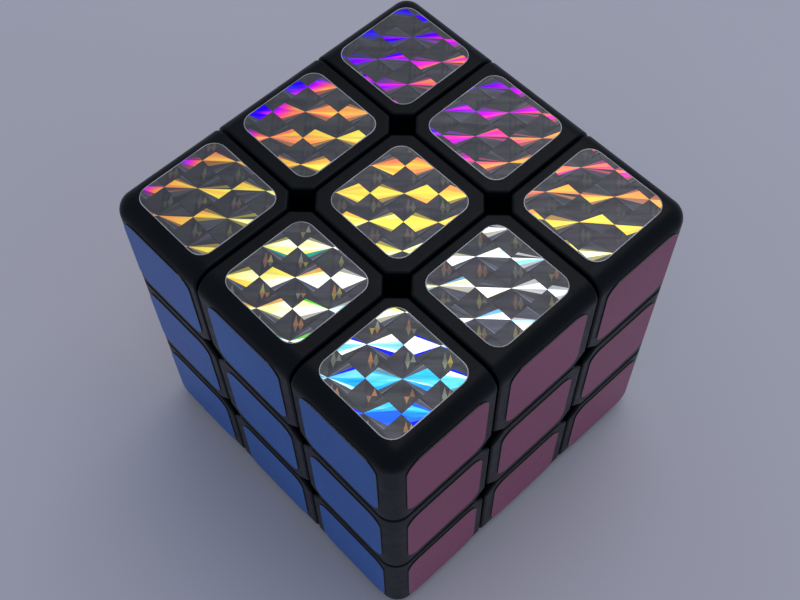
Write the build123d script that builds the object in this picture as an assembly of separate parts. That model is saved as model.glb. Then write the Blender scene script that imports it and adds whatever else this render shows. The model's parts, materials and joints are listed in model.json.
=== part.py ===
from build123d import *
import os

# Twist puzzle cube, 3 x 3 x 3, in millimetres. Twenty-six blocks turn about a six-armed core.
# The origin is at the middle of the underside, and +Z is up.
# A layer meets its neighbours in a stepped disc about the face's axis, so that each block's foot sits
# under the block beside it while every face can still turn all the way round.

os.makedirs("parts", exist_ok=True)

# --- driving dimensions ---------------------------------------------------------------------------

CUBE = 57.0  # plastic, face to face
GAP = 0.4  # running gap between neighbouring blocks
CUBE_EDGE_FILLET = 3.0  # outer edges of the whole cube
SEAM_FILLET = 0.4  # edges beside a seam
CORNER_CUT = 2.2  # where four blocks meet
CUT_FILLET = 0.6  # softens the two sides of that cut
WALL = 1.6  # of the hollow blocks
CAVITY_FILLET = 1.5

# the stepped cut: inside each radius, the layer reaches down to that height above the cube's middle
FOOT_RADIUS = 22.0
FOOT_HEIGHT = 6.5
TOE_RADIUS = 14.0
TOE_HEIGHT = 4.5
FOOT_REACH = 18.5  # how far out from the cube's middle a foot is built up

TILE = 14.6
TILE_CORNER = 2.2
TILE_THICK = 0.15
TILE_SET_IN = 0.4  # outer tiles sit this far towards the middle of their face

HUB_RADIUS = 6.0
ARM_RADIUS = 3.8
ARM_TOP = 13.0
PILOT_RADIUS = 1.2  # the screw cuts its own thread in the arm
PILOT_BOTTOM = 6.0

SHANK_RADIUS = 1.3
SHANK_BOTTOM = 6.5
HEAD_RADIUS = 2.6
HEAD_BOTTOM = 21.8
HEAD_THICK = 1.8
CROSS_LENGTH = 3.0
CROSS_WIDTH = 0.7
CROSS_DEPTH = 1.0

WASHER_RADIUS = 2.8
WASHER_THICK = 0.5
SPRING_RADIUS = 2.3
WIRE_RADIUS = 0.3
SPRING_TURNS = 5
SPRING_GAP = 0.1  # between the spring and the block that it presses on

SHELF_BOTTOM = 13.4
SHELF_TOP = 15.2
SHELF_BORE = 1.6
POCKET_RADIUS = 3.2
CAP_THICK = 1.9
CAP_PLUG = 9.0
CAP_PLUG_DEPTH = 1.6

# --- worked out from them -------------------------------------------------------------------------

HALF = CUBE / 2
PITCH = CUBE / 3
CUT = PITCH / 2
CLEAR = GAP / 2
REACH = 2 * CUBE  # well beyond the cube
BASE = HALF + TILE_THICK  # the cube's middle above the surface that it stands on
TOUCH = 1e-4  # closer than this, two places are the same

SIDE_NAMES = (
    {-1: "left", 1: "right"},
    {-1: "front", 1: "back"},
    {-1: "down", 1: "up"},
)
FACE_TURNS = {
    "up": Rotation(0, 0, 0),
    "down": Rotation(180, 0, 0),
    "front": Rotation(90, 0, 0),
    "back": Rotation(-90, 0, 0),
    "right": Rotation(0, 90, 0),
    "left": Rotation(0, -90, 0),
}


def disc(radius, bottom, top):
    """An upright cylinder from one height to another."""
    return Pos(0, 0, (bottom + top) / 2) * Cylinder(radius, top - bottom)


def block(low, high):
    """A box between two corners."""
    middle = Pos(*[(a + b) / 2 for a, b in zip(low, high)])
    return middle * Box(*[b - a for a, b in zip(low, high)])


def place(home, signs):
    """The quarter turns that take a block made at home, such as (1, 0, 1), to where signs says."""
    for face_turn in FACE_TURNS.values():
        for spin in (0, 90, 180, 270):
            turn = face_turn * Rotation(0, 0, spin)
            if (Vector(*signs) - (turn * Pos(*home)).position).length < TOUCH:
                return turn
    raise ValueError(f"no turn takes {home} to {signs}")


def name_of(kind, signs):
    """A node name such as edge_up_right, from the sides that the block shows."""
    sides = [SIDE_NAMES[axis][signs[axis]] for axis in (2, 1, 0) if signs[axis]]
    return "_".join([kind, *sides])


# --- the cut between a layer and its neighbours, made about +Z -------------------------------------


def layer_room(clearance):
    """All that lies above the stepped cut, drawn back from it by the clearance."""
    room = block((-REACH, -REACH, CUT + clearance), (REACH, REACH, REACH))
    room += disc(FOOT_RADIUS - clearance, FOOT_HEIGHT + clearance, REACH)
    room += disc(TOE_RADIUS - clearance, TOE_HEIGHT + clearance, REACH)
    return room


def cut_block(signs, clearance):
    """A block's whole room: inside the layers that it belongs to, and clear of those it doesn't."""
    room = block((-HALF,) * 3, (HALF,) * 3)
    inside = layer_room(clearance)
    outside = layer_room(-clearance)
    for axis, sign in enumerate(signs):
        side_names = SIDE_NAMES[axis]
        if sign:
            room &= FACE_TURNS[side_names[sign]] * inside
        else:
            room -= FACE_TURNS[side_names[1]] * outside
            room -= FACE_TURNS[side_names[-1]] * outside
    return room


# --- the visible part of a block -------------------------------------------------------------------


def cell_limits(signs):
    """The low and high corner of a block's visible cell."""
    low = [s * PITCH - CUT + CLEAR for s in signs]
    high = [HALF if s == 1 else CUT - CLEAR for s in signs]
    return low, high


def rounded_cell(signs):
    """The visible cell: cut back where four blocks meet, and rounded at every outer edge."""
    low, high = cell_limits(signs)
    cell = block(low, high)
    cube_edges = [e for e in cell.edges() if count_outer(e, signs) == 2]
    if cube_edges:
        cell = fillet(cube_edges, CUBE_EDGE_FILLET)
    cell = chamfer([e for e in cell.edges() if is_meeting(e, signs, low, high)], CORNER_CUT)
    cell = fillet(cut_sides(cell), CUT_FILLET)
    return fillet(seam_rim(cell, signs), SEAM_FILLET)


def count_outer(edge, signs):
    """On how many of the cube's own faces the middle of an edge lies."""
    middle = tuple(edge @ 0.5)
    return sum(sign == 1 and abs(p - HALF) < TOUCH for p, sign in zip(middle, signs))


def is_meeting(edge, signs, low, high):
    """Whether an edge runs inwards from the cube's surface between two seams."""
    seams = []
    for p, sign, start, end in zip(tuple(edge @ 0.5), signs, low, high):
        seams.append(abs(p - start) < TOUCH or (sign == 0 and abs(p - end) < TOUCH))
    return sum(seams) == 2 and signs[seams.index(False)] != 0


def cut_sides(cell):
    """The long edges on both sides of each corner cut."""
    sides = []
    for face in cell.faces().filter_by(GeomType.PLANE):
        slant = [axis for axis, part in enumerate(tuple(face.normal_at())) if abs(part) > 0.5]
        if len(slant) == 2:
            along = ({0, 1, 2} - set(slant)).pop()
            sides += [e for e in face.edges() if abs(tuple(e % 0.5)[along]) > 0.99]
    return sides


def seam_rim(cell, signs):
    """The edges where an outer surface of the cell turns down into a seam."""
    outward = [Vector(*[s if k == axis else 0 for k in range(3)]) for axis, s in enumerate(signs) if s]
    rim = []
    for face in cell.faces().filter_by(GeomType.PLANE):
        normal = face.normal_at()
        if any(normal.dot(out) > 0.9 for out in outward):
            continue
        for edge in face.edges():
            middle = edge @ 0.5
            is_high = any(middle.dot(out) > HALF - CUBE_EDGE_FILLET - TOUCH for out in outward)
            if is_high and not any((middle - other @ 0.5).length < TOUCH for other in rim):
                rim.append(edge)
    return rim


def cavity(signs):
    """The sealed hollow inside a block's visible cell."""
    low, high = cell_limits(signs)
    hollow = block([a + WALL for a in low], [b - WALL for b in high])
    return fillet(hollow.edges(), CAVITY_FILLET) & cut_block(signs, CLEAR + WALL)


# --- blocks, each made once in its home position ---------------------------------------------------


def hollow_block(signs):
    """An edge or corner block: a rounded, hollow cell with its foot."""
    room = cut_block(signs, CLEAR)
    foot = room & block((-FOOT_REACH,) * 3, (FOOT_REACH,) * 3)
    return (rounded_cell(signs) & room) + foot - cavity(signs)


def centre_block():
    """A centre block with its spring pocket, and the square cap that closes it, as two solids."""
    signs = (0, 0, 1)
    cap_bottom = HALF - CAP_THICK
    half_plug = CAP_PLUG / 2
    cell = rounded_cell(signs)
    above = block((-REACH, -REACH, cap_bottom), (REACH, REACH, REACH))
    plug = block((-half_plug, -half_plug, cap_bottom - CAP_PLUG_DEPTH), (half_plug, half_plug, cap_bottom))
    room = cut_block(signs, CLEAR)
    stem = room & block((-REACH, -REACH, SHELF_BOTTOM), (REACH, REACH, FOOT_RADIUS))
    body = (cell & room) + stem - above - plug
    body -= disc(SHELF_BORE, 0, REACH)
    body -= disc(POCKET_RADIUS, SHELF_TOP, REACH)
    body &= block((-REACH, -REACH, SHELF_BOTTOM), (REACH,) * 3)
    cap = (cell & above) + plug
    return [body.solid(), cap.solid()]


def tile(signs, axis):
    """One colour tile, on the outer face of a block that points along the axis."""
    centre = [s * (PITCH - TILE_SET_IN) for s in signs]
    centre[axis] = 0
    outline = RectangleRounded(TILE, TILE, TILE_CORNER)
    upright = extrude(outline, TILE_THICK)
    on_face = FACE_TURNS[SIDE_NAMES[axis][signs[axis]]] * Pos(0, 0, HALF) * upright
    return (Pos(*centre) * on_face).solid()


def tiles(signs):
    """All the colour tiles of one block."""
    return [tile(signs, axis) for axis, sign in enumerate(signs) if sign]


# --- the core --------------------------------------------------------------------------------------


def on_every_arm(solid):
    """Six copies of a piece that is made on the upper arm."""
    return [(turn * solid).solid() for turn in FACE_TURNS.values()]


def core_spider():
    """The hub with six arms, each with a pilot hole for its screw."""
    spider = Sphere(HUB_RADIUS)
    for turn in FACE_TURNS.values():
        spider += turn * disc(ARM_RADIUS, 0, ARM_TOP)
    for turn in FACE_TURNS.values():
        spider -= turn * disc(PILOT_RADIUS, PILOT_BOTTOM, REACH)
    return [spider.solid()]


def screw():
    """A pan head screw with a cross recess."""
    head_top = HEAD_BOTTOM + HEAD_THICK
    body = disc(SHANK_RADIUS, SHANK_BOTTOM, HEAD_BOTTOM) + disc(HEAD_RADIUS, HEAD_BOTTOM, head_top)
    body = fillet(body.edges().group_by(Axis.Z)[-1], HEAD_THICK / 3)
    for spin in (0, 90):
        slot = Box(CROSS_LENGTH, CROSS_WIDTH, 2 * CROSS_DEPTH)
        body -= Pos(0, 0, head_top) * Rotation(0, 0, spin) * slot
    return body


def washer():
    """A flat washer under the screw's head."""
    return disc(WASHER_RADIUS, HEAD_BOTTOM - WASHER_THICK, HEAD_BOTTOM) - disc(SHELF_BORE, 0, REACH)


def spring():
    """A compression spring between the block's shelf and the washer."""
    bottom = SHELF_TOP + SPRING_GAP + WIRE_RADIUS
    top = HEAD_BOTTOM - WASHER_THICK - WIRE_RADIUS
    path = Helix((top - bottom) / SPRING_TURNS, top - bottom, SPRING_RADIUS)
    section = Plane(path @ 0, z_dir=path % 0) * Circle(WIRE_RADIUS)
    return Pos(0, 0, bottom) * sweep(section, path, is_frenet=True)


# --- putting it together ---------------------------------------------------------------------------


def write(name, solids):
    """Writes one node, with the cube's middle lifted to its height above the ground."""
    lifted = [Pos(0, 0, BASE) * solid for solid in solids]
    shape = lifted[0] if len(lifted) == 1 else Compound(lifted)
    export_step(shape, f"parts/{name}.step")


def main():
    """Makes every node of the puzzle."""
    write("core_spider", core_spider())
    write("screws", on_every_arm(screw()))
    write("washers", on_every_arm(washer()))
    write("springs", on_every_arm(spring()))

    homes = {
        "centre": ((0, 0, 1), centre_block()),
        "edge": ((1, 0, 1), [hollow_block((1, 0, 1)).solid()]),
        "corner": ((1, 1, 1), [hollow_block((1, 1, 1)).solid()]),
    }
    kinds = {1: "centre", 2: "edge", 3: "corner"}
    sides = (-1, 0, 1)
    for signs in [(x, y, z) for z in sides for y in sides for x in sides if x or y or z]:
        kind = kinds[sum(map(abs, signs))]
        home, solids = homes[kind]
        turn = place(home, signs)
        write(name_of(kind, signs), [turn * solid for solid in solids])
        write(name_of(f"tiles_{kind}", signs), tiles(signs))


main()
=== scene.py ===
import json
import logging
import math
import random
from dataclasses import dataclass, field
from enum import Enum

import bmesh
import bpy
from mathutils import Matrix, Vector

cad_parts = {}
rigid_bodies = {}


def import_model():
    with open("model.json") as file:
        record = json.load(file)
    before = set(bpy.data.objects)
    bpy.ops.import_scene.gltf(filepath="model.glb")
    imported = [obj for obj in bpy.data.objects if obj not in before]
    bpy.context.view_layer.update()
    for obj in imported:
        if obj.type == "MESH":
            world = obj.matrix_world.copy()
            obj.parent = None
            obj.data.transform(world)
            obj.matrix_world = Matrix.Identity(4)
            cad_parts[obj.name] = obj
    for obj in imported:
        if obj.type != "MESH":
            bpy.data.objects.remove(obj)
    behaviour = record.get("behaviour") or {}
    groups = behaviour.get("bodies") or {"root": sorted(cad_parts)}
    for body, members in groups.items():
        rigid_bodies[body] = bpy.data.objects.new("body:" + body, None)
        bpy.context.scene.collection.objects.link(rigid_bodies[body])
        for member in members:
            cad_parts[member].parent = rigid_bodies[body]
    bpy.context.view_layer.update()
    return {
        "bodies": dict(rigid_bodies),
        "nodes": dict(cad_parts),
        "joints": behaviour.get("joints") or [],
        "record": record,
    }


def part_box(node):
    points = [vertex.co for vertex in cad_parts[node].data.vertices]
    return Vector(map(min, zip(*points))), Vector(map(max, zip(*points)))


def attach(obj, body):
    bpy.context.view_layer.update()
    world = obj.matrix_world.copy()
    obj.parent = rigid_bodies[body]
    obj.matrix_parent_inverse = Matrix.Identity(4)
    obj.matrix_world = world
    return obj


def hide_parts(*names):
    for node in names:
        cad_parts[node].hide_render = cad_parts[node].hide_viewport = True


LOG = logging.getLogger("twist_puzzle")
MM = 0.001
FACES_OUT = 0.999
WALL_TILT = 0.5
SAME_HEIGHT = 1e-8
CORNER_MERGE = 1e-7
FOIL_MERGE = 2e-6
Triple = tuple[float, float, float]
Colour = Triple


class Side(Enum):
    """A face of the cube: its outward axis and sign, and the material slot of its tiles."""

    UP = (2, 1, "tile_silver")
    DOWN = (2, -1, "tile_gold")
    FRONT = (1, -1, "tile_blue")
    BACK = (1, 1, "tile_green")
    RIGHT = (0, 1, "tile_rose")
    LEFT = (0, -1, "tile_orange")

    @property
    def axis(self) -> int:
        """The index of the face's axis."""
        return self.value[0]

    @property
    def sign(self) -> int:
        """Which way along its axis the face looks."""
        return self.value[1]

    @property
    def slot(self) -> str:
        """The record's material slot for this face's tiles."""
        return self.value[2]

    @property
    def word(self) -> str:
        """The face's name as the node names have it."""
        return self.name.lower()

    def basis(self) -> Matrix:
        """The turn that lays a tile made flat, facing +Z, on this face with its second axis upright.

        Returns:
            A rotation matrix with the face's across, upright and outward directions as columns.
        """
        outward = Vector([self.sign if k == self.axis else 0 for k in range(3)])
        upright = Vector((0, 0, 1)) if self.axis != 2 else Vector((0, self.sign, 0))
        across = upright.cross(outward)
        return Matrix((across, upright, outward)).transposed().to_4x4()


class Shader:
    """A small helper that starts a node material and links its parts."""

    def __init__(self, name: str) -> None:
        """Makes the material with its Principled shader and output.

        Args:
            name: The material's name.
        """
        self.material = bpy.data.materials.new(name)
        self.material.use_nodes = True
        self.tree = self.material.node_tree
        self.principled = self.tree.nodes["Principled BSDF"]
        self.place = self.tree.nodes.new("ShaderNodeTexCoord").outputs["Object"]

    def set(self, **values: object) -> None:
        """Sets constants on the shader's own sockets, given by name with _ for a space."""
        for name, value in values.items():
            self.principled.inputs[name.replace("_", " ")].default_value = value

    def mapped(self, stretch: Triple, turn: Triple = (0.0, 0.0, 0.0)) -> object:
        """Object coordinates, turned and then stretched.

        Args:
            stretch: How much longer the pattern is along each of its own axes.
            turn: Turn of those axes, in radians.

        Returns:
            The output socket.
        """
        node = self.tree.nodes.new("ShaderNodeMapping")
        node.vector_type = "TEXTURE"
        node.inputs["Scale"].default_value = stretch
        node.inputs["Rotation"].default_value = turn
        self.tree.links.new(self.place, node.inputs["Vector"])
        return node.outputs["Vector"]

    def slope(self, climb: "Slope") -> object:
        """A value that climbs steadily across the object.

        Args:
            climb: Its rise per metre along each axis, and its value at the origin.

        Returns:
            The output socket.
        """
        node = self.tree.nodes.new("ShaderNodeVectorMath")
        node.operation = "DOT_PRODUCT"
        node.inputs[1].default_value = climb.rise
        self.tree.links.new(self.place, node.inputs[0])
        return self.sum("ADD", node.outputs["Value"], climb.start)

    def sum(self, operation: str, first: object, second: object) -> object:
        """Joins two values by a Math operation; the second may be a number.

        Args:
            operation: The Math node's operation.
            first: The first value's socket.
            second: The second value, a socket or a float.

        Returns:
            The output socket.
        """
        node = self.tree.nodes.new("ShaderNodeMath")
        node.operation = operation
        self.tree.links.new(first, node.inputs[0])
        if isinstance(second, float):
            node.inputs[1].default_value = second
        else:
            self.tree.links.new(second, node.inputs[1])
        return node.outputs[0]

    def ramp(self, value: object, stops: tuple["Stop", ...]) -> object:
        """Reads a colour off a run of stops, the first of which is at 0.

        Args:
            value: Where on the run.
            stops: The run's stops, in order.

        Returns:
            The output socket of the colour.
        """
        node = self.tree.nodes.new("ShaderNodeValToRGB")
        last = stops[-1].place
        elements = node.color_ramp.elements
        elements[0].color, elements[1].color = (*stops[0].colour, 1.0), (*stops[-1].colour, 1.0)
        for stop in stops[1:-1]:
            elements.new(stop.place / last).color = (*stop.colour, 1.0)
        self.tree.links.new(self.sum("DIVIDE", value, float(last)), node.inputs["Fac"])
        return node.outputs["Color"]

    def noise(self, scale: float, detail: float, vector: object | None = None) -> object:
        """A noise pattern.

        Args:
            scale: Cells per metre.
            detail: Octaves.
            vector: Where it is read, or None for plain object coordinates.

        Returns:
            The output socket of its value.
        """
        node = self.tree.nodes.new("ShaderNodeTexNoise")
        node.inputs["Scale"].default_value = scale
        node.inputs["Detail"].default_value = detail
        self.tree.links.new(vector or self.place, node.inputs["Vector"])
        return node.outputs["Fac"]

    def spread(self, value: object, low: float, high: float, start: float = 0.3, end: float = 0.7) -> object:
        """Maps a pattern onto a range of numbers.

        Args:
            value: The pattern.
            low: The result where the pattern is at start.
            high: The result where it is at end.
            start: Lower end of the pattern's range.
            end: Upper end of the pattern's range.

        Returns:
            The output socket.
        """
        node = self.tree.nodes.new("ShaderNodeMapRange")
        for name, number in zip(("From Min", "From Max", "To Min", "To Max"), (start, end, low, high)):
            node.inputs[name].default_value = number
        self.tree.links.new(value, node.inputs["Value"])
        return node.outputs["Result"]

    def blend(self, factor: object, first: object, second: object) -> object:
        """Mixes two colours by a pattern; each colour is a tuple or a socket.

        Args:
            factor: The pattern.
            first: The colour where the pattern is 0.
            second: The colour where it is 1.

        Returns:
            The output socket.
        """
        node = self.tree.nodes.new("ShaderNodeMix")
        node.data_type = "RGBA"
        self.tree.links.new(factor, node.inputs["Factor"])
        for socket, colour in ((node.inputs[6], first), (node.inputs[7], second)):
            if isinstance(colour, tuple):
                socket.default_value = (*colour, 1.0)
            else:
                self.tree.links.new(colour, socket)
        return node.outputs[2]

    def feed(self, name: str, value: object) -> None:
        """Links a pattern to one of the shader's sockets."""
        self.tree.links.new(value, self.principled.inputs[name])

    def bump(self, height: object, strength: float, distance: float) -> None:
        """Adds a bump to the shader's normal.

        Args:
            height: The pattern.
            strength: How much of the bump shows.
            distance: Its depth, in metres.
        """
        node = self.tree.nodes.new("ShaderNodeBump")
        node.inputs["Strength"].default_value = strength
        node.inputs["Distance"].default_value = distance
        self.tree.links.new(height, node.inputs["Height"])
        self.feed("Normal", node.outputs["Normal"])


def linear(red: int, green: int, blue: int) -> Colour:
    """A screen colour, 0 to 255, as the linear colour that a shader takes.

    Args:
        red: Red.
        green: Green.
        blue: Blue.

    Returns:
        The linear colour.
    """
    return tuple(
        (c / 255 / 12.92) if c <= 10 else ((c / 255 + 0.055) / 1.055) ** 2.4 for c in (red, green, blue)
    )


def mixed(first: Colour, second: Colour, share: float) -> Colour:
    """A colour part of the way from the first to the second."""
    return tuple(a + (b - a) * share for a, b in zip(first, second))


@dataclass(frozen=True)
class MouldedPlastic:
    """Black moulded plastic with a faint flow pattern and handling marks."""

    name: str = "block_plastic"
    colour: Colour = (0.0012, 0.0030, 0.0056)
    worn: Colour = (0.0028, 0.0052, 0.0086)
    smooth: float = 0.30
    rough: float = 0.40

    def material(self) -> bpy.types.Material:
        """Builds the material.

        Returns:
            The material.
        """
        shader = Shader(self.name)
        clouds = shader.noise(scale=140.0, detail=4.0)
        shader.feed("Base Color", shader.blend(shader.spread(clouds, 0.0, 1.0), self.colour, self.worn))
        marks = shader.noise(scale=520.0, detail=3.0)
        shader.feed("Roughness", shader.spread(marks, self.smooth, self.rough))
        shader.bump(shader.noise(scale=2600.0, detail=2.0), strength=0.05, distance=0.00003)
        shader.set(IOR=1.5, Specular_IOR_Level=0.12)
        return shader.material


@dataclass(frozen=True)
class PlainPlastic:
    """Unpainted moulded plastic of the core."""

    name: str = "core_plastic"
    colour: Colour = (0.50, 0.50, 0.47)
    shade: Colour = (0.42, 0.42, 0.40)

    def material(self) -> bpy.types.Material:
        """Builds the material.

        Returns:
            The material.
        """
        shader = Shader(self.name)
        clouds = shader.noise(scale=400.0, detail=4.0)
        shader.feed("Base Color", shader.blend(clouds, self.colour, self.shade))
        shader.feed("Roughness", shader.spread(shader.noise(scale=900.0, detail=3.0), 0.45, 0.6))
        shader.bump(shader.noise(scale=3000.0, detail=2.0), strength=0.1, distance=0.00003)
        return shader.material


@dataclass(frozen=True)
class PlatedSteel:
    """Zinc-plated steel of the screws, washers and springs."""

    name: str = "steel"
    bright: Colour = (0.62, 0.62, 0.60)
    dull: Colour = (0.45, 0.46, 0.47)

    def material(self) -> bpy.types.Material:
        """Builds the material.

        Returns:
            The material.
        """
        shader = Shader(self.name)
        shader.feed("Base Color", shader.blend(shader.noise(scale=700.0, detail=4.0), self.bright, self.dull))
        shader.feed("Roughness", shader.spread(shader.noise(scale=1800.0, detail=3.0), 0.25, 0.45))
        shader.bump(shader.noise(scale=5000.0, detail=2.0), strength=0.1, distance=0.00002)
        shader.set(Metallic=1.0)
        return shader.material


@dataclass(frozen=True)
class SatinFilm:
    """Satin colour film: streaks along the film's run, clouding, and a paler worn tone."""

    name: str
    colour: Colour
    deep: Colour
    streak_stretch: Triple = (1.0, 1.0, 5.0)
    pale_share: float = 0.04

    def material(self) -> bpy.types.Material:
        """Builds the material.

        Returns:
            The material.
        """
        shader = Shader(self.name)
        streaks = shader.noise(scale=2400.0, detail=4.0, vector=shader.mapped(self.streak_stretch))
        clouds = shader.noise(scale=45.0, detail=2.0)
        pale = mixed(self.colour, (1.0, 1.0, 1.0), self.pale_share)
        tone = shader.blend(shader.spread(clouds, 0.0, 1.0), self.deep, self.colour)
        shader.feed("Base Color", shader.blend(shader.spread(streaks, 0.0, 0.5, 0.4, 0.75), tone, pale))
        shader.feed("Roughness", shader.spread(streaks, 0.34, 0.44))
        shader.bump(streaks, strength=0.03, distance=0.00001)
        shader.set(IOR=1.5, Specular_IOR_Level=0.28, Coat_Weight=0.05, Coat_Roughness=0.2)
        return shader.material


@dataclass(frozen=True)
class FilmEdge:
    """The cut edge of a tile's film: on a foil tile the clear film's edge, which catches the light; on a
    satin tile a near black edge, painted shade for the shadow groove round the tile.
    """

    name: str = "clear_film_edge"
    colour: Colour = (0.62, 0.63, 0.70)
    dim: Colour = (0.20, 0.205, 0.24)
    coat: float = 0.6

    def material(self) -> bpy.types.Material:
        """Builds the material.

        Returns:
            The material.
        """
        shader = Shader(self.name)
        clouds = shader.spread(shader.noise(scale=260.0, detail=3.0), 0.0, 1.0)
        shader.feed("Base Color", shader.blend(clouds, self.dim, self.colour))
        shader.feed("Roughness", shader.spread(shader.noise(scale=1200.0, detail=2.0), 0.15, 0.3))
        shader.set(Coat_Weight=self.coat, Coat_Roughness=0.1)
        return shader.material


@dataclass(frozen=True)
class Stop:
    """One point of a colour run: its place on the run and its colour."""

    place: float
    colour: Colour


@dataclass(frozen=True)
class Slope:
    """A value that climbs steadily: its rise per metre along each axis, and its value at the origin."""

    rise: Triple
    start: float


@dataclass(frozen=True)
class FoilShine:
    """Metallic foil that throws the light back, with painted reflections: its colours run across the tile by
    position, broken by fine streaks, and it glows as a painted reflection.
    """

    name: str
    run: tuple[Stop, ...]
    drift: Slope
    fringe: Slope | None
    glow: float
    grain_turn: float
    waver: float = 0.3
    streak_depth: float = 0.28
    streak_colour: Colour = (0.20, 0.20, 0.22)

    def material(self) -> bpy.types.Material:
        """Builds the material.

        Returns:
            The material.
        """
        shader = Shader(self.name)
        grain = shader.mapped((5.0, 0.7, 1.0), (0.0, 0.0, self.grain_turn))
        streaks = shader.noise(scale=1100.0, detail=4.0, vector=grain)
        place = shader.slope(self.drift)
        if self.fringe:
            place = shader.sum("ADD", place, shader.sum("MINIMUM", shader.slope(self.fringe), 0.0))
        place = shader.sum("ADD", place, shader.spread(streaks, -self.waver, self.waver))
        broad = shader.noise(scale=700.0, detail=3.0, vector=grain)
        fade = shader.spread(broad, 0.0, self.streak_depth, 0.5, 0.75)
        tone = shader.blend(fade, shader.ramp(place, self.run), self.streak_colour)
        shader.feed("Base Color", tone)
        # Emission: the bright facets glow, a painted reflection of the lamp on top of their real metal
        # reflection.
        shader.feed("Emission Color", tone)
        shader.feed("Roughness", shader.spread(streaks, 0.26, 0.42))
        shader.set(Emission_Strength=self.glow, Metallic=1.0)
        return shader.material


@dataclass(frozen=True)
class FoilTint:
    """A facet of the foil of one tone, bright or in shade, with faint cloudy streaks."""

    name: str
    colour: Colour
    glow: float
    grain_turn: float
    metal: float
    partner_share: float = 0.72

    def material(self) -> bpy.types.Material:
        """Builds the material.

        Returns:
            The material.
        """
        shader = Shader(self.name)
        grain = shader.mapped((4.0, 0.8, 1.0), (0.0, 0.0, self.grain_turn))
        streaks = shader.noise(scale=900.0, detail=4.0, vector=grain)
        partner = tuple(c * self.partner_share for c in self.colour)
        tone = shader.blend(shader.spread(streaks, 0.0, 1.0, 0.35, 0.7), self.colour, partner)
        shader.feed("Base Color", tone)
        # A glow, where set, is a painted reflection of the light.
        if self.glow:
            shader.feed("Emission Color", tone)
            shader.set(Emission_Strength=self.glow)
        shader.feed("Roughness", shader.spread(streaks, 0.28, 0.42))
        shader.set(Metallic=self.metal)
        return shader.material


class Catch(Enum):
    """How a facet of the foil catches the light."""

    SHINE = "shine"
    WARM = "warm"
    COOL = "cool"
    DIM = "dim"
    ACCENT = "accent"
    FLAME = "flame"
    SHADE = "shade"
    ECHO = "echo"
    LINE = "line"


class Lit(Enum):
    """Which halves of the kites light up: both, or far and near ones by turns, in either order."""

    BOTH = "both"
    STEPPED = "stepped"
    COUNTER = "counter"


@dataclass(frozen=True)
class Tone:
    """The look of one facet: its kind, and which of that kind's tints it takes."""

    kind: Catch
    pick: int = 0


# Painted light on the foil: bright kinds are places on the run of painted reflection colours, the shade tints
# vary the painted shade tone, and the glow numbers scale a painted glow.
RUN_SHIFTS = {Catch.SHINE: 0.0, Catch.WARM: -0.7, Catch.COOL: 0.7, Catch.DIM: -0.2}
DIM_SHARE, DIM_GLOW = 0.62, 0.35
SHADE_TINTS = ((1.0, 1.0, 1.0), (0.84, 0.90, 0.88), (0.95, 0.85, 0.96), (0.76, 0.77, 0.86))
ECHO_TINTS = {Catch.ECHO: (0.32, 0.32, 0.42), Catch.LINE: (1.25, 1.25, 1.6)}
FLAME_SHARES = (1.0, 0.55)
FLAME_GLOW, SHADED_METAL = 0.3, 0.35


@dataclass(frozen=True)
class FoilCut:
    """How one tile was cut from the foil, and how the light falls on it.

    The pattern is placed by one broad meeting of two kites, in mm right of the tile's middle and
    forward of it, towards the front corner. Colours are places on the foil's run of colours.
    """

    across: float
    forward: float
    row: float = 4.7
    lean: float = 0.0
    lit: Lit = Lit.BOTH
    start: float = 5.0
    drift: tuple[float, float] = (0.0, 0.14)
    fringe: tuple[float, float] | None = None
    echo: float = 1.0
    flame: float = 0.0
    accents: tuple[Colour, ...] = ()


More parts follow.
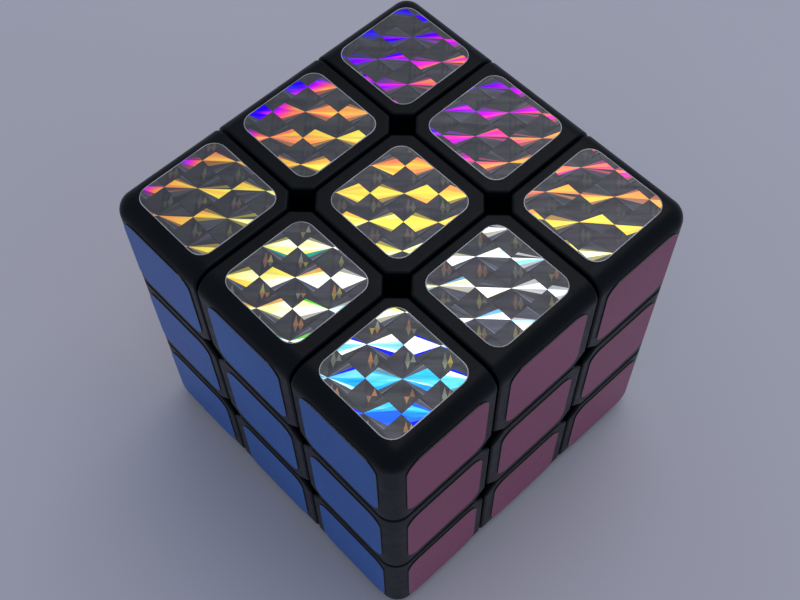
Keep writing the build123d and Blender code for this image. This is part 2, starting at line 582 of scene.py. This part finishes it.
@dataclass
class FoilStock:
    """A sheet of foil as it comes: its run of colours, which are painted reflections, its tone in shade,
    which is painted shade, and its flame marks; its glow is the strength of a painted glow.
    """

    name: str
    run: tuple[Stop, ...]
    dark: Colour
    flames: tuple[Colour, ...]
    glow: float
    grain_turn: float
    made: dict = field(default_factory=dict)

    def keep(self, finish: FoilShine | FoilTint) -> bpy.types.Material:
        """Builds a finish's material once, and gives it again after that.

        Args:
            finish: The finish.

        Returns:
            Its material.
        """
        if finish.name not in self.made:
            self.made[finish.name] = finish.material()
        return self.made[finish.name]

    def shine(self, kind: Catch, cut: FoilCut, place: Matrix, owner: str) -> FoilShine:
        """The finish of a tile's bright facets.

        Args:
            kind: Which of the bright kinds.
            cut: How the tile was cut.
            place: Where the tile goes.
            owner: The tile's name in the material's name.

        Returns:
            The finish.
        """
        across, forward = cut.drift
        rise = place.to_3x3() @ Vector((across + forward, across - forward, 0)) / math.sqrt(2) / MM
        start = cut.start + RUN_SHIFTS[kind] - rise.dot(place.translation)
        fringe = None
        if cut.fringe:
            border, gain = cut.fringe
            pull = place.to_3x3() @ Vector((gain / MM, 0, 0))
            fringe = Slope(tuple(pull), gain * border - pull.dot(place.translation))
        run, glow = self.run, self.glow
        # Dim facets sink the painted reflection colours towards the painted shade and glow less.
        if kind is Catch.DIM:
            run = tuple(Stop(s.place, mixed(s.colour, self.dark, DIM_SHARE)) for s in run)
            glow *= DIM_GLOW
        name = f"{self.name}_{owner}_{kind.value}"
        return FoilShine(name, run, Slope(tuple(rise), start), fringe, glow, self.grain_turn)

    def tint(self, tone: Tone, cut: FoilCut, owner: str) -> FoilTint:
        """The finish of a facet of one tone.

        Args:
            tone: The facet's tone.
            cut: How the tile was cut.
            owner: The tile's name in the material's name.

        Returns:
            The finish.
        """
        name, glow, metal = f"{self.name}_{tone.kind.value}_{tone.pick}", 0.0, SHADED_METAL
        # Accents are painted glints that glow as the bright facets do; flame marks glow faintly too.
        if tone.kind is Catch.ACCENT:
            name, glow, metal = f"{self.name}_{owner}_accent_{tone.pick}", self.glow, 1.0
            colour = cut.accents[tone.pick]
        elif tone.kind is Catch.FLAME:
            name, glow = f"{self.name}_{owner}_flame_{tone.pick}", FLAME_GLOW * cut.flame
            share = cut.flame * FLAME_SHARES[tone.pick % 2]
            colour = mixed(self.dark, self.flames[tone.pick // 2], share)
        elif tone.kind in ECHO_TINTS:
            name += f"_{round(cut.echo * 10)}"
            colour = tuple(c * (1 + cut.echo * t) for c, t in zip(self.dark, ECHO_TINTS[tone.kind]))
        else:
            colour = tuple(c * t for c, t in zip(self.dark, SHADE_TINTS[tone.pick]))
        return FoilTint(name, colour, glow, self.grain_turn, metal)

    def material(self, tone: Tone, cut: FoilCut, place: Matrix, owner: str) -> bpy.types.Material:
        """The material of a facet on one tile.

        Args:
            tone: The facet's tone.
            cut: How the tile was cut.
            place: Where the tile's colours are measured from.
            owner: The tile's name in the material's name.

        Returns:
            The material.
        """
        if tone.kind in RUN_SHIFTS:
            return self.keep(self.shine(tone.kind, cut, place, owner))
        return self.keep(self.tint(tone, cut, owner))


# Runs of painted reflection colours: the rainbow and white glare that the foil throws back as it turns, laid
# across each tile by position.
SILVER_RUN = (
    Stop(0, linear(35, 5, 235)),
    Stop(0.8, linear(95, 5, 235)),
    Stop(1.4, linear(160, 15, 238)),
    Stop(2, linear(215, 30, 220)),
    Stop(2.6, linear(235, 60, 165)),
    Stop(3.1, linear(238, 95, 115)),
    Stop(3.6, linear(238, 128, 92)),
    Stop(4.2, linear(240, 155, 84)),
    Stop(5, linear(240, 192, 82)),
    Stop(5.6, linear(239, 214, 86)),
    Stop(6.2, linear(238, 230, 98)),
    Stop(6.8, linear(244, 242, 160)),
    Stop(7.4, linear(252, 250, 225)),
    Stop(8, linear(255, 255, 255)),
    Stop(8.6, linear(240, 250, 252)),
    Stop(9.2, linear(130, 212, 235)),
    Stop(9.8, linear(60, 190, 230)),
    Stop(10.4, linear(38, 160, 235)),
    Stop(11, linear(40, 95, 240)),
)
GOLD_RUN = (
    Stop(0, linear(226, 120, 30)),
    Stop(5.5, linear(245, 190, 66)),
    Stop(11, linear(250, 226, 140)),
)
# Colours of painted glints on some tiles' outer fans.
GREEN, TEAL, TAN = linear(96, 214, 62), linear(44, 150, 140), linear(232, 178, 104)
DEEP_BLUE, PALE_STEEL, PALE_TEAL = linear(28, 40, 232), linear(112, 168, 205), linear(150, 175, 165)
# Each top tile's pattern place and its painted light: which kite halves shine, where on the painted
# reflection run it starts and how it drifts, and how strong its echoes and flame marks are.
FOIL_CUTS = {
    "corner_up_back_left": FoilCut(
        across=0.8, forward=1.1, row=4.55, lean=-2.5, lit=Lit.STEPPED, start=1.4, drift=(0.19, 0.17)
    ),
    "edge_up_back": FoilCut(
        across=1.95, forward=1.9, row=4.45, lean=-1.0, lit=Lit.STEPPED, start=2.4, drift=(0.15, 0.16)
    ),
    "corner_up_back_right": FoilCut(
        across=2.9, forward=3.2, row=4.6, lean=-4.0, lit=Lit.STEPPED, start=4.5, drift=(0.0, 0.24),
        flame=0.1,
    ),
    "edge_up_left": FoilCut(across=-0.8, forward=2.6, start=4.2, drift=(0.11, 0.14), fringe=(3.2, 0.92)),
    "centre_up": FoilCut(across=0.6, forward=3.5, start=5.3, flame=0.3),
    "edge_up_right": FoilCut(
        across=-2.9, forward=0.55, row=4.75, lean=-1.0, lit=Lit.STEPPED, start=8.0, drift=(0.09, 0.0),
        echo=2.0, flame=0.45, accents=(PALE_STEEL, PALE_TEAL),
    ),
    "corner_up_front_left": FoilCut(
        across=3.15, forward=-1.45, row=4.8, lean=-1.5, lit=Lit.COUNTER, start=5.0, drift=(0.17, 0.08),
        fringe=(5.3, 1.27), echo=1.2, flame=0.3,
    ),
    "edge_up_front": FoilCut(
        across=-0.25, forward=4.3, row=4.8, start=7.2, drift=(0.15, 0.06), echo=2.0, flame=0.8,
        accents=(GREEN, TEAL, TAN),
    ),
    "corner_up_front_right": FoilCut(
        across=1.15, forward=-3.8, row=4.85, start=9.3, drift=(0.0, 0.23), echo=1.8, flame=1.0,
        accents=(DEEP_BLUE,),
    ),
}


@dataclass
class TileShape:
    """Sizes of a colour tile, read from the tiles in the frame, with its small edge details in metres."""

    side: float
    thick: float
    corner: float = 2.2 * MM
    corner_steps: int = 6
    soft_edge: float = 0.05 * MM

    def plate(self, height: float) -> bmesh.types.BMesh:
        """A rounded square plate, facing +Z, standing on z = 0.

        Args:
            height: The plate's thickness.

        Returns:
            The plate as a closed mesh.
        """
        mesh = bmesh.new()
        bmesh.ops.create_grid(mesh, x_segments=1, y_segments=1, size=self.side / 2)
        bmesh.ops.bevel(
            mesh, geom=mesh.verts[:], offset=self.corner, affect="VERTICES",
            segments=self.corner_steps, profile=0.5, material=-1,
        )
        bmesh.ops.remove_doubles(mesh, verts=mesh.verts[:], dist=CORNER_MERGE)
        grown = bmesh.ops.extrude_face_region(mesh, geom=mesh.faces[:], use_keep_orig=True)
        top = [v for v in grown["geom"] if isinstance(v, bmesh.types.BMVert)]
        bmesh.ops.translate(mesh, verts=top, vec=(0, 0, height))
        bmesh.ops.recalc_face_normals(mesh, faces=mesh.faces[:])
        return mesh

    def top_rim(self, mesh: bmesh.types.BMesh) -> list:
        """The edges round the plate's top.

        Args:
            mesh: The plate.

        Returns:
            The edges.
        """
        high = max(v.co.z for v in mesh.verts)
        return [
            e for e in mesh.edges
            if all(abs(v.co.z - high) < SAME_HEIGHT for v in e.verts)
            and any(abs(f.normal.z) < WALL_TILT for f in e.link_faces)
        ]

    def outline_cuts(self, inset: float) -> list[tuple[Vector, Vector]]:
        """Planes that trim a sheet to the tile's outline.

        Args:
            inset: How far inside the outline to trim.

        Returns:
            A point and an outward normal for each plane.
        """
        half = self.side / 2 - inset
        centre = self.side / 2 - self.corner
        radius = self.corner - inset
        cuts = []
        for quarter in range(4):
            turn = Matrix.Rotation(quarter * math.pi / 2, 3, "Z")
            cuts.append((turn @ Vector((half, 0, 0)), turn @ Vector((1, 0, 0))))
            for step in range(1, self.corner_steps):
                angle = step * math.pi / 2 / self.corner_steps
                normal = Vector((math.cos(angle), math.sin(angle), 0))
                cuts.append((turn @ (Vector((centre, centre, 0)) + normal * radius), turn @ normal))
        return cuts


class Puzzle:
    """The frame's blocks and where their tiles sit."""

    def __init__(self, frame: dict) -> None:
        """Reads the tile size and the cube's middle from the frame.

        Args:
            frame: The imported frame.
        """
        self.frame = frame
        low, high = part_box("tiles_centre_up")
        self.tile = TileShape(side=high.x - low.x, thick=high.z - low.z)
        self.top = high.z
        self.middle = Vector((0, 0, high.z / 2))

    def blocks(self) -> list[str]:
        """The names of the blocks' nodes, which are also their bodies."""
        return sorted(n for n in self.frame["nodes"] if n.split("_")[0] in ("centre", "edge", "corner"))

    def sides(self, block: str) -> list[Side]:
        """The faces on which a block shows."""
        return [side for side in Side if side.word in block.split("_")]

    def tile_place(self, block: str, side: Side) -> Matrix:
        """Where a block's tile lies.

        Args:
            block: The block's name.
            side: The face that the tile is on.

        Returns:
            The matrix that takes a tile made flat at the origin to its place.
        """
        low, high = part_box("tiles_" + block)
        centre = Vector((0, 0, 0))
        for axis in range(3):
            owner = next((s for s in self.sides(block) if s.axis == axis), None)
            if axis == side.axis:
                centre[axis] = self.middle[axis] + side.sign * (self.top / 2 - self.tile.thick)
            elif owner is None:
                centre[axis] = (low[axis] + high[axis]) / 2
            elif owner.sign > 0:
                centre[axis] = low[axis] + self.tile.side / 2
            else:
                centre[axis] = high[axis] - self.tile.side / 2
        return Matrix.Translation(centre) @ side.basis()


def finish_piece(
    mesh: bmesh.types.BMesh, name: str, place: Matrix, materials: list, body: str, node: str
) -> bpy.types.Object:
    """Turns a mesh into a piece in its place, riding on its block.

    Args:
        mesh: The piece, made flat at the origin; it is used up.
        name: The piece's name.
        place: Where it goes.
        materials: Its materials, in the order of its faces' material indices.
        body: The body that it rides on.
        node: The CAD node that it stands for.

    Returns:
        The piece.
    """
    bmesh.ops.transform(mesh, matrix=place, verts=mesh.verts[:])
    data = bpy.data.meshes.new(name)
    mesh.to_mesh(data)
    mesh.free()
    piece = bpy.data.objects.new(name, data)
    bpy.context.scene.collection.objects.link(piece)
    for material in materials:
        data.materials.append(material)
    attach(piece, body)
    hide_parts(node)
    return piece


@dataclass
class SatinTiles:
    """The plain satin tiles of the side faces."""

    puzzle: Puzzle
    finishes: dict
    cut_edge: bpy.types.Material

    def build(self, block: str, side: Side) -> None:
        """Makes one satin tile with a softened rim.

        Args:
            block: The block's name.
            side: The face that the tile is on.
        """
        shape = self.puzzle.tile
        mesh = shape.plate(shape.thick)
        bmesh.ops.bevel(
            mesh, geom=shape.top_rim(mesh), offset=shape.soft_edge, affect="EDGES",
            segments=2, profile=0.5, material=-1,
        )
        # The top takes the satin; the softened rim and the walls take the near black edge, painted shade for
        # the shadow groove round the tile.
        for face in mesh.faces:
            face.material_index = 0 if face.normal.z > FACES_OUT else 1
        place = self.puzzle.tile_place(block, side)
        name = f"tile_{side.word}_of_{block}"
        finish_piece(mesh, name, place, [self.finishes[side], self.cut_edge], block, "tiles_" + block)


@dataclass(frozen=True)
class FlameMark:
    """A small pointed mark in the shaded foil, in mm: its middle, its half width and its height."""

    middle: float
    half: float
    height: float


@dataclass
class FoilTiles:
    """The faceted foil tiles: rows of bright kites that touch at their tips, with shaded facets between."""

    puzzle: Puzzle
    stocks: dict
    edge: bpy.types.Material
    cuts: dict
    kite: float = 4.7
    wide: float = 1.6
    echo: float = 2.0
    line: float = 0.09
    flames: tuple[FlameMark, FlameMark] = (FlameMark(0.58, 0.33, 1.3), FlameMark(1.26, 0.35, 1.0))
    rim: float = 0.11 * MM
    floor: float = 0.05 * MM
    valley: float = 0.10 * MM
    crest: float = 0.14 * MM
    cells: int = 4
    accent_below: float = 0.34
    dim_below: float = 0.62
    near_reach: float = 1.15
    far_reach: float = 0.8
    hidden_forward: float = 2.3

    def tray(self) -> bmesh.types.BMesh:
        """The clear film's edge: a plate with a shallow tray that the foil lies in.

        Returns:
            The plate as a mesh.
        """
        shape = self.puzzle.tile
        mesh = shape.plate(shape.thick)
        top = max(mesh.faces, key=lambda f: f.calc_center_median().z)
        bmesh.ops.inset_individual(mesh, faces=[top], thickness=self.rim, use_even_offset=True)
        sunk = bmesh.ops.extrude_face_region(mesh, geom=[top])
        verts = [v for v in sunk["geom"] if isinstance(v, bmesh.types.BMVert)]
        bmesh.ops.translate(mesh, verts=verts, vec=(0, 0, self.floor - shape.thick))
        bmesh.ops.delete(mesh, geom=[f for f in [top] if f.is_valid], context="FACES_ONLY")
        bmesh.ops.recalc_face_normals(mesh, faces=mesh.faces[:])
        return mesh

    def bright_half(self, cell: "HalfCell", cut: FoilCut, draw: random.Random) -> list:
        """The three fans of a half kite that lights up.

        Args:
            cell: The half cell that it lies in.
            cut: How the tile was cut.
            draw: The tile's random numbers.

        Returns:
            The corners and the tone of each facet.
        """
        inner = Tone(draw.choice((Catch.SHINE, Catch.SHINE, Catch.COOL)))
        middle = Tone(draw.choice((Catch.SHINE, Catch.WARM, Catch.COOL)))
        chance = draw.random()
        if cut.accents and chance < self.accent_below:
            outer = Tone(Catch.ACCENT, draw.randrange(len(cut.accents)))
        elif chance < self.dim_below:
            outer = Tone(Catch.DIM)
        else:
            outer = Tone(draw.choice((Catch.WARM, Catch.COOL)))
        return self.fans(cell, draw.uniform(0.25, 0.5), draw.uniform(0.6, 0.85), (inner, middle, outer))

    def shaded_half(self, cell: "HalfCell", draw: random.Random) -> list:
        """The three fans of a half kite in shade, dim and half clear.

        Args:
            cell: The half cell that it lies in.
            draw: The tile's random numbers.

        Returns:
            The corners and the tone of each facet.
        """
        first = Tone(draw.choice((Catch.ECHO, Catch.SHADE, Catch.DIM)))
        sliver = Tone(draw.choice((Catch.DIM, Catch.DIM, Catch.ECHO)))
        last = Tone(draw.choice((Catch.ECHO, Catch.SHADE)))
        start = draw.uniform(0.15, 0.4)
        return self.fans(cell, start, start + draw.uniform(0.12, 0.35), (first, sliver, last))

    def fans(self, cell: "HalfCell", first: float, second: float, tones: tuple[Tone, ...]) -> list:
        """Splits a half kite into three fans that meet at its long tip.

        Args:
            cell: The half cell that it lies in.
            first: How far along the short edge the first fan ends.
            second: How far along it the second one ends.
            tones: The fans' tones, from the kite's axis out.

        Returns:
            The corners and the tone of each facet.
        """
        drop = self.valley - self.crest
        shares = (0.0, first, second, 1.0)
        marks = [cell.spot(self.wide * k, self.wide * k, self.crest + drop * k) for k in shares]
        tip = cell.spot(self.kite, 0, self.crest)
        return [((low, high, tip), tone) for low, high, tone in zip(marks, marks[1:], tones)]

    def surround(self, cell: "HalfCell", draw: random.Random) -> list:
        """The shaded facets beside a half kite: its echo, a thin pale line, and a pair of flame marks.

        Args:
            cell: The half cell that they lie in.
            draw: The tile's random numbers.

        Returns:
            The corners and the tone of each facet.
        """
        middle = cell.row / 2
        slope = middle / (self.kite / 2)
        tip = cell.spot(self.kite, 0, self.crest)
        shoulder = cell.spot(self.wide, self.wide, self.valley)
        inner = cell.spot(self.echo, self.echo * slope, self.valley)
        outer = cell.spot(self.echo + self.line, (self.echo + self.line) * slope, self.valley)
        gap = cell.spot(self.kite / 2, middle, self.crest)
        shows = draw.random() < cell.echo_share
        plain = Tone(Catch.SHADE, draw.choice((0, 0, 1, 2)))
        facets = [
            ((shoulder, inner, tip), Tone(Catch.ECHO) if shows else plain),
            ((inner, outer, tip), Tone(Catch.LINE) if shows else plain),
            ((outer, gap, tip), plain),
        ]
        near, far = self.flames
        reach = self.near_reach if cell.up < 0 else self.far_reach
        left, right = cell.level(0, 0, self.crest), cell.level(self.kite, 0, self.crest)
        foot, end = cell.level(0, middle, self.valley), cell.level(self.kite, middle, self.valley)
        start = cell.level(near.middle - near.half, middle, self.valley)
        between = cell.level(near.middle + near.half, middle, self.valley)
        stop = cell.level(far.middle + far.half, middle, self.valley)
        first = cell.level(near.middle, middle - near.height * reach, self.crest)
        second = cell.level(far.middle, middle - far.height * reach, self.crest)
        dull = Tone(Catch.SHADE, draw.choice((0, 1, 2, 3)))
        facets += [
            ((right, gap, end), Tone(Catch.SHADE, draw.choice((0, 1, 2, 3)))),
            ((left, gap, second), plain), ((gap, stop, second), plain),
            ((left, second, first), dull), ((second, between, first), dull),
            ((left, first, foot), dull), ((first, start, foot), dull),
            ((second, stop, between), cell.mark(draw)),
            ((first, between, start), cell.mark(draw)),
        ]
        return facets

    def sheet(self, cut: FoilCut, draw: random.Random) -> tuple[bmesh.types.BMesh, list]:
        """The faceted sheet, trimmed to lie inside the rim.

        Args:
            cut: How the tile was cut.
            draw: The tile's random numbers.

        Returns:
            The sheet, and the list of tones that its faces' tone layer counts through.
        """
        mesh = bmesh.new()
        layer = mesh.faces.layers.int.new("tone")
        tones: list = []
        for line in range(-self.cells, self.cells + 1):
            for column in range(-self.cells, self.cells + 1):
                for up in (1, -1):
                    cell = HalfCell(mesh, column, line, up, self.kite, cut.row)
                    if cell.shines(cut.lit):
                        half = self.bright_half(cell, cut, draw)
                    else:
                        half = self.shaded_half(cell, draw)
                    for corners, tone in half + self.surround(cell, draw):
                        mesh.faces.new(corners)[layer] = len(tones)
                        tones.append(tone)
        turn = Matrix.Rotation(math.pi / 4 + math.radians(cut.lean), 4, "Z")
        shift = Matrix.Translation((cut.across * MM, -cut.forward * MM, 0))
        bmesh.ops.transform(mesh, matrix=turn @ shift, verts=mesh.verts[:])
        for point, normal in self.puzzle.tile.outline_cuts(self.rim):
            geometry = mesh.verts[:] + mesh.edges[:] + mesh.faces[:]
            bmesh.ops.bisect_plane(
                mesh, geom=geometry, plane_co=point, plane_no=normal, clear_outer=True, dist=SAME_HEIGHT
            )
        bmesh.ops.remove_doubles(mesh, verts=mesh.verts[:], dist=FOIL_MERGE)
        bmesh.ops.recalc_face_normals(mesh, faces=mesh.faces[:])
        if sum(f.normal.z for f in mesh.faces) < 0:
            bmesh.ops.reverse_faces(mesh, faces=mesh.faces[:])
        return mesh, tones

    def close_under(self, mesh: bmesh.types.BMesh) -> None:
        """Gives the sheet a flat underside and walls, so that it is a closed solid.

        Args:
            mesh: The sheet.
        """
        grown = bmesh.ops.extrude_face_region(mesh, geom=mesh.faces[:], use_keep_orig=True)
        upper = {v for v in grown["geom"] if isinstance(v, bmesh.types.BMVert)}
        for vert in mesh.verts:
            if vert not in upper:
                vert.co.z = self.floor
        bmesh.ops.recalc_face_normals(mesh, faces=mesh.faces[:])

    def build(self, block: str, side: Side) -> None:
        """Makes one foil tile: its clear edge and its faceted sheet.

        Args:
            block: The block's name.
            side: The face that the tile is on.
        """
        place = self.puzzle.tile_place(block, side)
        node = "tiles_" + block
        finish_piece(self.tray(), f"film_edge_{side.word}_of_{block}", place, [self.edge], block, node)

        draw = random.Random(f"{block} {side.word}")
        cut, ground, owner = self.cuts.get(block), place, block
        if side is not Side.UP or cut is None:
            across = draw.uniform(-self.kite, self.kite)
            forward = draw.uniform(-self.hidden_forward, self.hidden_forward)
            cut = FoilCut(across, forward, drift=(0.03, 0.12), flame=0.5)
            ground, owner = Matrix.Translation(self.puzzle.middle) @ side.basis(), "face"
        mesh, tones = self.sheet(cut, draw)
        layer = mesh.faces.layers.int["tone"]
        materials: list = []
        for face in mesh.faces:
            material = self.stocks[side].material(tones[face[layer]], cut, ground, owner)
            if material not in materials:
                materials.append(material)
            face.material_index = materials.index(material)
        self.close_under(mesh)
        finish_piece(mesh, f"foil_{side.word}_of_{block}", place, materials, block, node)


@dataclass(frozen=True)
class HalfCell:
    """The half above or below one kite's axis, up to halfway to the next row, in mm."""

    mesh: bmesh.types.BMesh
    column: int
    line: int
    up: int
    kite: float
    row: float
    mark_share: float = 0.8
    echo_near: float = 0.8
    echo_far: float = 0.3

    @property
    def broad_left(self) -> bool:
        """Whether the kite's broad end is at its left."""
        return (self.column + self.line) % 2 == 0

    @property
    def echo_share(self) -> float:
        """How often the kite's echo shows on this side."""
        return self.echo_near if self.up < 0 else self.echo_far

    def shines(self, lit: Lit) -> bool:
        """Whether this half of the kite lights up.

        Args:
            lit: Which halves light up on this tile.

        Returns:
            True where it lights up.
        """
        if lit is Lit.BOTH:
            return True
        return ((self.up > 0) != self.broad_left) == (lit is Lit.STEPPED)

    def mark(self, draw: random.Random) -> Tone:
        """The look of a flame mark, which may not show.

        Args:
            draw: The tile's random numbers.

        Returns:
            The tone.
        """
        if draw.random() < self.mark_share:
            return Tone(Catch.FLAME, draw.randrange(6))
        return Tone(Catch.SHADE, draw.randrange(3))

    def level(self, across: float, out: float, height: float) -> bmesh.types.BMVert:
        """A new corner, measured from the cell's left side.

        Args:
            across: Distance right of the cell's left side, in mm.
            out: Distance out from the kite's axis, in mm.
            height: Height above the plate's underside, in metres.

        Returns:
            The corner.
        """
        x = (self.column * self.kite + across) * MM
        return self.mesh.verts.new((x, (self.line * self.row + self.up * out) * MM, height))

    def spot(self, along: float, out: float, height: float) -> bmesh.types.BMVert:
        """A new corner, measured along the kite from its broad end."""
        return self.level(along if self.broad_left else self.kite - along, out, height)


@dataclass(frozen=True)
class Viewpoint:
    """The camera: where it stands round the cube's middle, its lens and its small shift of frame."""

    azimuth: float = 47.5
    elevation: float = 60.8
    distance: float = 187.2 * MM
    roll: float = -1.1
    slide_right: float = 0.2 * MM
    slide_up: float = -4.9 * MM
    lens: float = 53.5
    sensor: float = 36.0
    nearest: float = 5 * MM
    shift: tuple[float, float] = (-0.0048, 0.0485)

    def build(self, target: Vector) -> None:
        """Makes the scene's camera.

        Args:
            target: The cube's middle.
        """
        around, height = math.radians(self.azimuth), math.radians(self.elevation)
        back = Vector((
            math.sin(around) * math.cos(height), -math.cos(around) * math.cos(height), math.sin(height)
        ))
        right = Vector((math.cos(around), math.sin(around), 0))
        above = back.cross(right)
        data = bpy.data.cameras.new("camera")
        data.lens = self.lens
        data.sensor_width = self.sensor
        data.shift_x, data.shift_y = self.shift
        data.clip_start = self.nearest
        camera = bpy.data.objects.new("camera", data)
        bpy.context.scene.collection.objects.link(camera)
        frame = Matrix((right, above, back)).transposed().to_4x4()
        spot = target + right * self.slide_right + above * self.slide_up + back * self.distance
        camera.matrix_world = (
            Matrix.Translation(spot) @ frame @ Matrix.Rotation(math.radians(self.roll), 4, "Z")
        )
        bpy.context.scene.camera = camera


@dataclass(frozen=True)
class Lamp:
    """A soft area lamp that looks at the cube."""

    name: str
    place: Triple
    size: float
    power: float
    colour: Colour

    def build(self, target: Vector) -> None:
        """Makes the lamp, aimed at the target.

        Args:
            target: The cube's middle.
        """
        data = bpy.data.lights.new(self.name, "AREA")
        data.shape = "DISK"
        data.size = self.size
        data.energy = self.power
        data.color = self.colour
        lamp = bpy.data.objects.new(self.name, data)
        bpy.context.scene.collection.objects.link(lamp)
        lamp.location = self.place
        lamp.rotation_euler = (target - Vector(self.place)).to_track_quat("-Z", "Y").to_euler()


@dataclass(frozen=True)
class Studio:
    """The pale floor, the sky light and the lamps."""

    floor_colour: Colour = linear(200, 201, 217)
    floor_size: float = 8.0
    floor_shade: float = 0.05
    sky: Colour = (0.84, 0.90, 1.0)
    sky_strength: float = 0.42
    lamps: tuple[Lamp, ...] = (
        Lamp("window", (-0.05, 0.42, 0.90), 0.9, 2.4, (1.0, 0.96, 0.97)),
    )

    def build(self, target: Vector) -> None:
        """Makes the floor and the lights.

        Args:
            target: The cube's middle.
        """
        mesh = bmesh.new()
        bmesh.ops.create_grid(mesh, x_segments=1, y_segments=1, size=self.floor_size / 2)
        data = bpy.data.meshes.new("floor")
        mesh.to_mesh(data)
        mesh.free()
        floor = bpy.data.objects.new("floor", data)
        bpy.context.scene.collection.objects.link(floor)
        shader = Shader("floor_paint")
        clouds = shader.spread(shader.noise(scale=9.0, detail=3.0), 0.0, 1.0)
        shade = mixed(self.floor_colour, (0, 0, 0), self.floor_shade)
        shader.feed("Base Color", shader.blend(clouds, shade, self.floor_colour))
        shader.set(Roughness=0.75)
        data.materials.append(shader.material)

        world = bpy.data.worlds.new("sky")
        bpy.context.scene.world = world
        world.use_nodes = True
        background = world.node_tree.nodes["Background"]
        background.inputs["Color"].default_value = (*self.sky, 1.0)
        background.inputs["Strength"].default_value = self.sky_strength
        for lamp in self.lamps:
            lamp.build(target)
        bpy.context.scene.view_settings.view_transform = "Standard"


def dress_nodes(frame: dict) -> None:
    """Gives every CAD node that stays its material.

    Args:
        frame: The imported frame.
    """
    finishes = {
        "block_plastic": MouldedPlastic().material(),
        "core_plastic": PlainPlastic().material(),
        "steel": PlatedSteel().material(),
    }
    for part in frame["record"]["subparts"]:
        material = finishes.get(part["material_slot"])
        if material:
            data = frame["nodes"][part["node"]].data
            data.materials.clear()
            data.materials.append(material)
    LOG.info("dressed the blocks and the core")


def build_tiles(puzzle: Puzzle) -> None:
    """Makes every tile of every block.

    Args:
        puzzle: The puzzle's blocks and sizes.
    """
    satin = SatinTiles(puzzle, {
        Side.FRONT: SatinFilm("satin_blue", linear(24, 100, 190), linear(16, 88, 176)).material(),
        Side.RIGHT: SatinFilm("satin_rose", linear(152, 70, 112), linear(142, 60, 100)).material(),
        Side.BACK: SatinFilm("satin_green", linear(30, 120, 78), linear(22, 102, 64)).material(),
        Side.LEFT: SatinFilm("satin_orange", linear(196, 98, 38), linear(178, 82, 28)).material(),
    # The satin tiles' near black edges are painted shade for the groove round each tile.
    }, FilmEdge("satin_cut_edge", (0.010, 0.011, 0.015), (0.006, 0.007, 0.010), 0.1).material())
    # Each stock's next to last number is the strength of its painted glow.
    silver = FoilStock(
        "silver_foil", SILVER_RUN, linear(82, 84, 90),
        (linear(168, 158, 84), linear(170, 118, 80), linear(132, 138, 120)), 0.46, math.pi / 4,
    )
    gold = FoilStock(
        "gold_foil", GOLD_RUN, linear(92, 72, 40),
        (linear(150, 128, 70), linear(160, 112, 62), linear(170, 150, 110)), 0.3, -math.pi / 4,
    )
    foil = FoilTiles(puzzle, {Side.UP: silver, Side.DOWN: gold}, FilmEdge().material(), FOIL_CUTS)
    for block in puzzle.blocks():
        for side in puzzle.sides(block):
            maker = foil if side in foil.stocks else satin
            maker.build(block, side)
        LOG.info("tiled %s", block)


def main() -> None:
    """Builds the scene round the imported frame."""
    logging.basicConfig(level=logging.INFO, format="%(message)s")
    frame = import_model()
    puzzle = Puzzle(frame)
    Viewpoint().build(puzzle.middle)
    Studio().build(puzzle.middle)
    dress_nodes(frame)
    build_tiles(puzzle)


if __name__ == "__main__":
    main()
